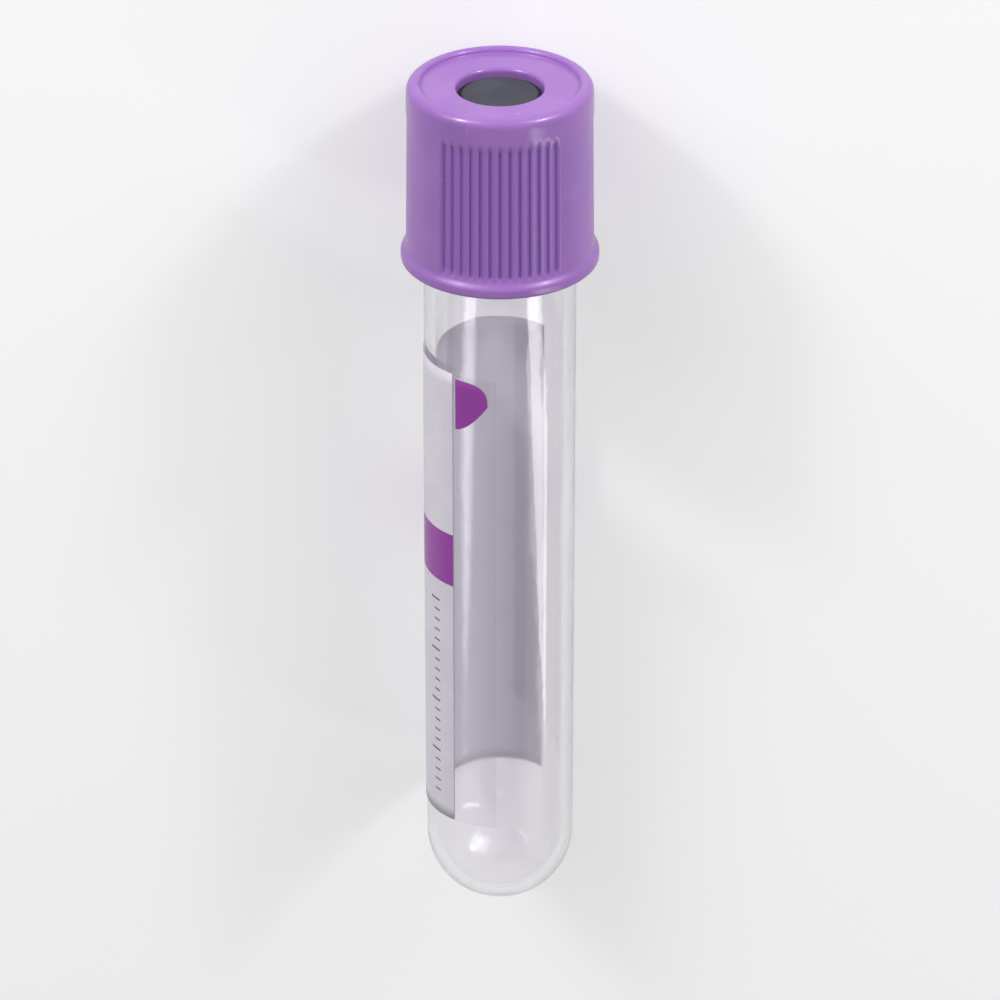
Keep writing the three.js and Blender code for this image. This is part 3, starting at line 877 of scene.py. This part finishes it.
def build_label_tree():
    inputs = [
        ("Seed", GEOMETRY), ("Start", FLOAT), ("Sweep", FLOAT), ("Low", FLOAT), ("High", FLOAT),
        ("Low radius", FLOAT), ("High radius", FLOAT), ("Thickness", FLOAT), ("Width", FLOAT),
        ("Print", MATERIAL), ("Back", MATERIAL),
    ]
    tree, given, out = new_group("GeometryNodeTree", "wrapped film", inputs, [("Film", GEOMETRY)])
    columns, rows = LABEL_POINTS
    flat = {"Size X": 1.0, "Size Y": 1.0, "Vertices X": columns, "Vertices Y": rows}
    grid = node(tree, "GeometryNodeMeshGrid", flat)
    grid_x, grid_y, _ = separate(tree, node(tree, "GeometryNodeInputPosition").outputs[0])
    round_share = maths(tree, "ADD", grid_x, 0.5)
    up_share = maths(tree, "ADD", grid_y, 0.5)

    length = maths(tree, "DIVIDE", maths(tree, "SUBTRACT", given["High"], given["Low"]), MM)
    down = product(tree, maths(tree, "SUBTRACT", 1, up_share), length)
    layout = combine(tree, product(tree, round_share, given["Width"]), down, 0)
    marked = store(tree, grid.outputs[0], "print_mm", layout)

    degrees = maths(tree, "ADD", given["Start"], product(tree, round_share, given["Sweep"]))
    turn = maths(tree, "RADIANS", degrees)
    radius = blend_values(tree, up_share, given["Low radius"], given["High radius"])
    x = product(tree, radius, maths(tree, "SINE", turn))
    z = product(tree, radius, maths(tree, "COSINE", turn))
    wrapped = combine(tree, x, blend_values(tree, up_share, given["Low"], given["High"]), z)
    inner = node(tree, "GeometryNodeSetPosition", {"Geometry": marked, "Position": wrapped}).outputs[0]

    thick = {"Mesh": inner, "Offset Scale": given["Thickness"], "Individual": False}
    outer = node(tree, "GeometryNodeExtrudeMesh", thick)
    back = node(tree, "GeometryNodeFlipFaces", {"Mesh": inner}).outputs[0]
    joined = node(tree, "GeometryNodeJoinGeometry")
    for part in (back, outer.outputs["Mesh"]):
        tree.links.new(part, joined.inputs[0])
    closed = node(tree, "GeometryNodeMergeByDistance", {"Geometry": joined.outputs[0], "Distance": SEAM})
    placed = store_own_place(tree, closed.outputs[0])
    not_rim = node(tree, "FunctionNodeBooleanMath", {0: outer.outputs["Side"]}, operation="NOT").outputs[0]
    shaded = node(tree, "GeometryNodeSetShadeSmooth", {0: placed, "Shade Smooth": not_rim})
    real = node(tree, "GeometryNodeRealizeInstances", {0: shaded.outputs[0]})
    all_back = node(tree, "GeometryNodeSetMaterial", {0: real.outputs[0], "Material": given["Back"]})
    front = {0: all_back.outputs[0], "Selection": outer.outputs["Top"], "Material": given["Print"]}
    tree.links.new(node(tree, "GeometryNodeSetMaterial", front).outputs[0], out.inputs[0])
    return tree


label_tree = build_label_tree()
print("wrapped film:", len(label_tree.nodes), "nodes")

# %% [markdown]
# ## The print
#
# The print is plain: a white ground, a purple band, ruled lines to write on, a column of ticks, two
# rows of short bars, a small register mark and the rounded fill mark. A drawing like this needs no
# image. The `print box` group gives 1 inside a rectangle and 0 outside it, with an edge as soft as
# ink on film, and the layout below is a list of such boxes.

# %% Print layout
# Each pair runs from left to right across the film, or from its top edge down, in millimetres.
WHITE_FROM = 0.25
WHITE_TO = 21.55
WHITE_DOWN = (-1.0, 60.0)  # past both ends of the film
BAND_DOWN = (15.5, 20.5)
REGISTER_TO = 1.4
REGISTER_DOWN = (29.15, 30.25)
RULES = (5.2, 9.6, 14.0)  # the middle of each ruled line
RULE_HALF = 0.07
RULES_DOWN = (21.6, 42.2)
TICKS_DOWN = (21.9, 42.2)
TICKS_ACROSS = (18.0, 20.0)
SHORT_TICKS = {"across": (19.05, 19.85), "pitch": 1.0, "half": 0.08}
LONG_TICKS = {"across": (18.55, 19.85), "pitch": 5.0, "half": 0.1}
BAR_PITCH = 1.35
BAR_ACROSS = (0.3, 1.0)
BAR_HEIGHT = 1.1
BAR_ROWS = (3.0, 6.4)  # the top edge of each row of bars
BARS_ACROSS = (6.5, 15.95)
BARS_DOWN = (0.0, 10.0)
INK_EDGE = 0.035  # half the width of the soft edge of the ink

print("print:", len(RULES), "ruled lines and", len(BAR_ROWS), "rows of bars")

# %% Print boxes


def build_print_box():
    inputs = [
        ("Print", VECTOR), ("Left", FLOAT), ("Right", FLOAT), ("Top", FLOAT), ("Bottom", FLOAT),
        ("Edge", FLOAT, INK_EDGE),
    ]
    tree, given, out = new_group(SHADER, "print box", inputs, [("Inside", FLOAT)])
    across_film, down, _ = separate(tree, given["Print"])
    margins = [
        maths(tree, "SUBTRACT", across_film, given["Left"]),
        maths(tree, "SUBTRACT", given["Right"], across_film),
        maths(tree, "SUBTRACT", down, given["Top"]),
        maths(tree, "SUBTRACT", given["Bottom"], down),
    ]
    nearest = margins[0]
    for margin in margins[1:]:
        nearest = maths(tree, "MINIMUM", nearest, margin)
    less = maths(tree, "MULTIPLY", given["Edge"], -1)
    tree.links.new(ramp(tree, nearest, less, given["Edge"]), out.inputs["Inside"])
    return tree


print_box = build_print_box()


def box_mask(tree, place, left, right, top, bottom):
    sides = {"Print": place, "Left": left, "Right": right, "Top": top, "Bottom": bottom}
    return place_group(tree, print_box, sides)["Inside"]


def any_of(tree, masks):
    result = masks[0]
    for mask in masks[1:]:
        result = maths(tree, "MAXIMUM", result, mask)
    return result


def repeated(tree, place, pitch_across, pitch_down):
    """The same print coordinates, folded so that one mark repeats at a pitch."""
    across_film, down, _ = separate(tree, place)
    if pitch_across:
        across_film = maths(tree, "FLOORED_MODULO", across_film, pitch_across)
    if pitch_down:
        down = maths(tree, "FLOORED_MODULO", down, pitch_down)
    return combine(tree, across_film, down, 0)


def tick_column(tree, place, across, pitch, half):
    """Ticks one below the other. Each lies in the middle of its own stretch of the scale."""
    folded = repeated(tree, place, 0, pitch)
    tick = box_mask(tree, folded, *across, pitch / 2 - half, pitch / 2 + half)
    return product(tree, tick, box_mask(tree, place, *TICKS_ACROSS, *TICKS_DOWN))


def bar_row(tree, place, top):
    folded = repeated(tree, place, BAR_PITCH, 0)
    bar = box_mask(tree, folded, *BAR_ACROSS, top, top + BAR_HEIGHT)
    return product(tree, bar, box_mask(tree, place, *BARS_ACROSS, *BARS_DOWN))


print("print box:", len(print_box.nodes), "nodes")

# %% [markdown]
# The fill mark is a rounded flag with its straight side against the white ground. Above its tip its
# edge is a quarter of a squarish ellipse, and below the tip it runs back in a gentle slope.

# %% Fill mark
FILL_LEFT = WHITE_TO + 0.3
FILL_WIDTH = 3.0
FILL_TOP = 0.4
FILL_HEIGHT = 4.7
FILL_TIP = 0.45  # where the tip is, as a share of the height
FILL_BULGE = 3.0  # the higher, the squarer its upper corner
FILL_SLOPE = 0.6


def build_fill_mark():
    tree, given, out = new_group(SHADER, "fill mark", [("Print", VECTOR)], [("Inside", FLOAT)])
    across_film, down, _ = separate(tree, given["Print"])
    share = maths(tree, "DIVIDE", maths(tree, "SUBTRACT", down, FILL_TOP), FILL_HEIGHT)
    above = maths(tree, "DIVIDE", maths(tree, "SUBTRACT", FILL_TIP, share), FILL_TIP)
    above = maths(tree, "MINIMUM", maths(tree, "MAXIMUM", above, 0.0), 1.0)
    corner = maths(tree, "SUBTRACT", 1.0, maths(tree, "POWER", above, FILL_BULGE))
    bulge = maths(tree, "POWER", corner, 1 / FILL_BULGE)
    below = maths(tree, "DIVIDE", maths(tree, "SUBTRACT", 1.0, share), 1 - FILL_TIP)
    below = maths(tree, "MINIMUM", maths(tree, "MAXIMUM", below, 0.0), 1.0)
    slope = maths(tree, "POWER", below, FILL_SLOPE)
    reach = product(tree, bulge, slope, FILL_WIDTH)
    offset = maths(tree, "SUBTRACT", across_film, FILL_LEFT)
    inside = ramp(tree, maths(tree, "SUBTRACT", reach, offset), -INK_EDGE, INK_EDGE)
    flat_side = ramp(tree, offset, -INK_EDGE, INK_EDGE)
    started = maths(tree, "GREATER_THAN", share, 0.0)
    unfinished = maths(tree, "LESS_THAN", share, 1.0)
    tree.links.new(product(tree, inside, flat_side, started, unfinished), out.inputs["Inside"])
    return tree


fill_mark = build_fill_mark()
print("fill mark:", len(fill_mark.nodes), "nodes")

# %% [markdown]
# The front and the back of the film share one rule for what is clear. On the clear end only a trace of
# haze is left, so that the film's edge can just be made out on the wall.

# %% Label finishes
CLEAR_FILM = 0.07  # how much of the clear end is seen
PAPER_WHITE = (0.86, 0.815, 0.9)
PAPER_SHADE = (0.82, 0.775, 0.86)
PURPLE_INK = (0.345, 0.045, 0.405)
DARK_INK = (0.075, 0.06, 0.09)
BACK_SHADE = (0.86, 0.835, 0.91)
FILM_IOR = 1.5
FILM_RELIEF = 0.03  # mm, how unevenly the film lies on the wall


def film_masks(tree):
    place = attribute(tree, "print_mm")
    white = box_mask(tree, place, WHITE_FROM, WHITE_TO, *WHITE_DOWN)
    mark = place_group(tree, fill_mark, {"Print": place})["Inside"]
    seen = blend_values(tree, maths(tree, "MAXIMUM", white, mark), CLEAR_FILM, 1.0)
    return place, mark, seen


label_print, tree, shader = new_finish("label print", {"IOR": FILM_IOR})
place, mark, seen = film_masks(tree)
own = attribute(tree, "own_mm")
grain = place_group(tree, fine_grain, {"Place": own, "Grain size": 0.14, "Drift size": 4.0})
scratch = place_group(tree, hairlines, {"Place": own, "Spacing": 1.8, "Amount": 0.4})["Scratch"]

band = box_mask(tree, place, WHITE_FROM, WHITE_TO, *BAND_DOWN)
register = box_mask(tree, place, WHITE_FROM, REGISTER_TO, *REGISTER_DOWN)
purple = any_of(tree, [band, register, mark])

rules = [box_mask(tree, place, line - RULE_HALF, line + RULE_HALF, *RULES_DOWN) for line in RULES]
ticks = [tick_column(tree, place, **SHORT_TICKS), tick_column(tree, place, **LONG_TICKS)]
rows = [bar_row(tree, place, top) for top in BAR_ROWS]
dark = any_of(tree, [*rules, *ticks, *rows])

ground = mix_colour(tree, ramp(tree, grain["Drift"], 0.35, 0.65), PAPER_WHITE, PAPER_SHADE)
inked = mix_colour(tree, purple, ground, PURPLE_INK)
printed = mix_colour(tree, maths(tree, "MULTIPLY", dark, 0.9), inked, DARK_INK)
tree.links.new(printed, shader.inputs["Base Color"])
tree.links.new(seen, shader.inputs["Alpha"])
film_gloss = blend_values(tree, grain["Grain"], 0.22, 0.36)
tree.links.new(add_share(tree, film_gloss, scratch, 0.2), shader.inputs["Roughness"])
add_bump(tree, shader, add_share(tree, grain["Drift"], grain["Grain"], 0.12), FILM_RELIEF)
print("label print:", len(tree.nodes), "nodes")

label_back, tree, shader = new_finish("label back", {"IOR": FILM_IOR})
_, mark, seen = film_masks(tree)
own = attribute(tree, "own_mm")
grain = place_group(tree, fine_grain, {"Place": own, "Grain size": 0.3, "Drift size": 3.0})
pale = mix_colour(tree, ramp(tree, grain["Drift"], 0.3, 0.7, 0.0, 0.35), BACK_SHADE, PAPER_SHADE)
tree.links.new(mix_colour(tree, mark, pale, PURPLE_INK), shader.inputs["Base Color"])
tree.links.new(seen, shader.inputs["Alpha"])
tree.links.new(blend_values(tree, grain["Grain"], 0.5, 0.65), shader.inputs["Roughness"])
add_bump(tree, shader, grain["Drift"], FILM_RELIEF)
print("label back:", len(tree.nodes), "nodes")

# %% Label
label_source = profile_object("label seed", [(0, 0), (1, 0)])
add_tree(label_source, label_tree, {
    "Start": LABEL_START, "Sweep": LABEL_SWEEP, "Low": LABEL_BOTTOM * MM, "High": LABEL_TOP * MM,
    "Low radius": (wall_radius(LABEL_BOTTOM) + LABEL_GAP) * MM,
    "High radius": (wall_radius(LABEL_TOP) + LABEL_GAP) * MM,
    "Thickness": LABEL_THICKNESS * MM, "Width": math.radians(LABEL_SWEEP) * LABEL_RADIUS,
    "Print": label_print, "Back": label_back,
})
lay_piece(label_source, "label_film", "label", "tube")

# %% [markdown]
# ## Table, light and world
#
# The table is plain and pale. Its paleness isn't made with more light, which would wash out the tube:
# the floor and the world simply show lighter to rays that come from the camera or through a clear
# surface. Glossy reflections get only a part of that, so that the edges of the cap stay lavender and
# the edges of the clear wall stand out.
#
# Two soft boxes stand on the cap's side, low and to the left and right. They put the most light on the
# cap's top face. In the middle of each is a small bright lamp, its spark, which leaves a small highlight
# on the round rim. A narrow strip on the other side draws the long bright line down the clear wall.

# %% Table
TABLE_WHITE = 0.8
TABLE_LIFT = 0.35
MIRRORED = 0.6  # share of that lift, and of the world's, that shows in glossy reflections
FLOOR_REACH = 2.0  # metres from the middle of the floor to its edges

table_finish, tree, shader = new_finish("pale table", {"Roughness": 0.9, "Specular IOR Level": 0.0})
grain = place_group(tree, fine_grain, {
    "Place": node(tree, "ShaderNodeTexCoord").outputs["Object"], "Grain size": 0.004, "Drift size": 0.3,
})
pale = mix_colour(tree, grain["Drift"], (TABLE_WHITE,) * 3, (TABLE_WHITE * 0.985,) * 3)
tree.links.new(pale, shader.inputs["Base Color"])
shader.inputs["Emission Color"].default_value = (1, 1, 1, 1)


def seen_share(tree, mirrored):
    """1 for rays from the camera or through a clear surface, and `mirrored` for glossy reflections."""
    path = node(tree, "ShaderNodeLightPath").outputs
    straight = maths(tree, "MAXIMUM", path["Is Camera Ray"], path["Is Transmission Ray"])
    return maths(tree, "MAXIMUM", straight, product(tree, path["Is Glossy Ray"], mirrored))


tree.links.new(product(tree, seen_share(tree, MIRRORED), TABLE_LIFT), shader.inputs["Emission Strength"])

floor_mesh = bpy.data.meshes.new("floor")
corners = [(x * FLOOR_REACH, y * FLOOR_REACH, 0) for x, y in ((-1, -1), (1, -1), (1, 1), (-1, 1))]
floor_mesh.from_pydata(corners, [], [(0, 1, 2, 3)])
floor_mesh.materials.append(table_finish)
floor = bpy.data.objects.new("floor", floor_mesh)
bpy.context.collection.objects.link(floor)
print("floor:", 2 * FLOOR_REACH, "m wide")

# %% Lights
TO_LEFT_BOX = (-0.57, 0.73, 0.38)  # directions from the tube's middle
TO_RIGHT_BOX = (0.62, 0.70, 0.35)
TO_STRIP = (0.75, -0.44, 0.49)
BOX_DISTANCE = 0.6
STRIP_DISTANCE = 0.45


def soft_box(name, towards, distance, size, power):
    """A rectangular lamp in the direction `towards`, facing the tube. Its size is in metres."""
    data = bpy.data.lights.new(name, "AREA")
    data.shape = "RECTANGLE"
    data.size, data.size_y = size
    data.energy = power
    lamp = bpy.data.objects.new(name, data)
    bpy.context.collection.objects.link(lamp)
    direction = Vector(towards).normalized()
    lamp.matrix_world = Matrix.Translation(middle + direction * distance) @ direction.to_track_quat(
        "Z", "Y"
    ).to_matrix().to_4x4()
    print(name, "-", power, "W")


soft_box("left box", TO_LEFT_BOX, BOX_DISTANCE, (0.4, 0.4), 1.26)
soft_box("right box", TO_RIGHT_BOX, BOX_DISTANCE, (0.35, 0.35), 1.04)
soft_box("left spark", TO_LEFT_BOX, BOX_DISTANCE, (0.07, 0.07), 0.85)
soft_box("right spark", TO_RIGHT_BOX, BOX_DISTANCE, (0.07, 0.07), 0.75)
soft_box("edge strip", TO_STRIP, STRIP_DISTANCE, (0.05, 0.3), 0.2)

# %% World
WORLD_TINT = (0.98, 0.98, 1.0)
WORLD_LEVEL = 0.26  # how strongly it lights the tube
WORLD_SEEN = 0.95  # how strongly it shows

world = bpy.data.worlds.new("world")
bpy.context.scene.world = world
world.use_nodes = True
tree = world.node_tree
background = tree.nodes["Background"]
background.inputs["Color"].default_value = (*WORLD_TINT, 1)
level = blend_values(tree, seen_share(tree, MIRRORED), WORLD_LEVEL, WORLD_SEEN)
tree.links.new(level, background.inputs["Strength"])

bpy.context.scene.view_settings.view_transform = "Standard"
print("world: strength", WORLD_LEVEL, "as light and", WORLD_SEEN, "to the eye")
